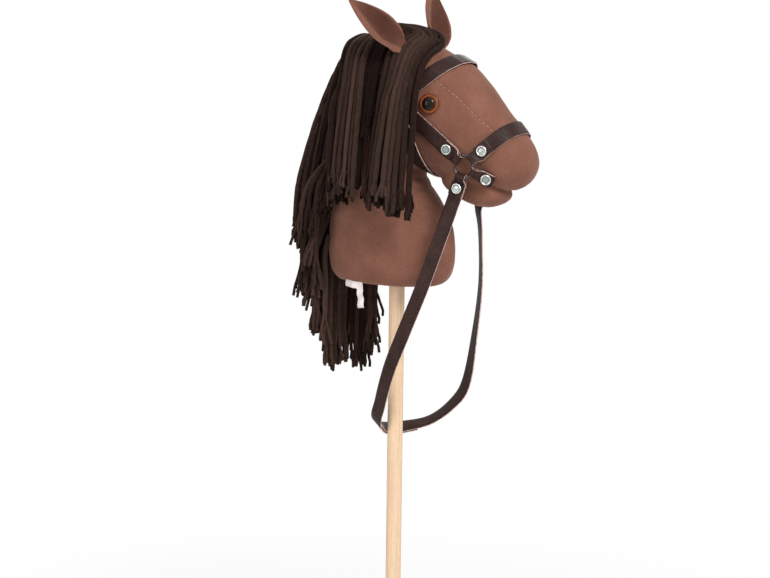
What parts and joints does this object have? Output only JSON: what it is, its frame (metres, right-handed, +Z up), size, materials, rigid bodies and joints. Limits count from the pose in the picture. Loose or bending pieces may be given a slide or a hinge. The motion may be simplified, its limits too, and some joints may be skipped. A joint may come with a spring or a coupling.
{
  "type": "hobby horse",
  "caption": "Stuffed fabric horse's head on a wooden stick, with a hanging yarn mane, a riveted strap bridle with rings, and a rein loop that swings.",
  "frame": {"origin": "centre of the flat end of the stick's foot", "axes": "+Z up along the stick, +X the way the horse looks, +Y towards the horse's left"},
  "size_m": [0.2961, 0.1731, 0.8479],
  "materials": {
    "brown_velour": "short-pile velour over polyester stuffing",
    "brown_leather": "matt imitation leather with pale cut edges",
    "silver_rivet": "bright nickel-plated caps",
    "dark_ring": "dark nickel-plated wire",
    "beech": "fine-grained dowel, clear matt lacquer",
    "amber_eye": "glossy amber dome with a dark pupil",
    "dark_yarn": "soft thick mop yarn with frayed ends",
    "white_satin": "blank woven satin"
  },
  "bodies": {
    "horse": {"browband": "brown_leather", "ear_left": "brown_velour", "ear_right": "brown_velour", "eye_left": "amber_eye", "eye_right": "amber_eye", "forelock_right_1": "dark_yarn", "forelock_right_2": "dark_yarn", "head": "brown_velour", "headpiece": "brown_leather", "label_tag": "white_satin", "lower_jaw": "brown_velour", "mane_left_1": "dark_yarn", "mane_left_2": "dark_yarn", "mane_left_3": "dark_yarn", "mane_left_4": "dark_yarn", "mane_left_5": "dark_yarn", "mane_right_1": "dark_yarn", "mane_right_2": "dark_yarn", "mane_right_3": "dark_yarn", "mane_right_4": "dark_yarn", "mane_right_5": "dark_yarn", "mane_tuft_1": "dark_yarn", "mane_tuft_2": "dark_yarn", "mane_tuft_3": "dark_yarn", "mane_tuft_4": "dark_yarn", "mane_tuft_5": "dark_yarn", "mane_tuft_6": "dark_yarn", "mouth_tab_left": "brown_leather", "mouth_tab_right": "brown_leather", "neck": "brown_velour", "noseband": "brown_leather", "rivet_headpiece_left": "silver_rivet", "rivet_headpiece_right": "silver_rivet", "rivet_joint_left": "silver_rivet", "rivet_joint_right": "silver_rivet", "rivet_mouth_tab_left": "silver_rivet", "rivet_mouth_tab_right": "silver_rivet", "rivet_noseband_left": "silver_rivet", "rivet_noseband_right": "silver_rivet", "stick": "beech", "throat_strap": "brown_leather"},
    "ring_right": {"bit_ring_right": "dark_ring"},
    "ring_left": {"bit_ring_left": "dark_ring"},
    "reins": {"rein_left": "brown_leather", "rein_right": "brown_leather", "rivet_rein_left": "silver_rivet", "rivet_rein_right": "silver_rivet"}
  },
  "joints": [
    {"name": "ring_right_turn", "type": "hinge", "parent": "horse", "child": "ring_right", "pos_m": [0.107, -0.0428, 0.65], "axis": [0, 1, 0], "continuous": true},
    {"name": "ring_left_turn", "type": "hinge", "parent": "horse", "child": "ring_left", "pos_m": [0.107, 0.0428, 0.65], "axis": [0, 1, 0], "continuous": true},
    {"name": "reins_swing", "type": "hinge", "parent": "horse", "child": "reins", "pos_m": [0.107, 0, 0.65], "axis": [0, 1, 0], "range_deg": [0, 20]}
  ]
}
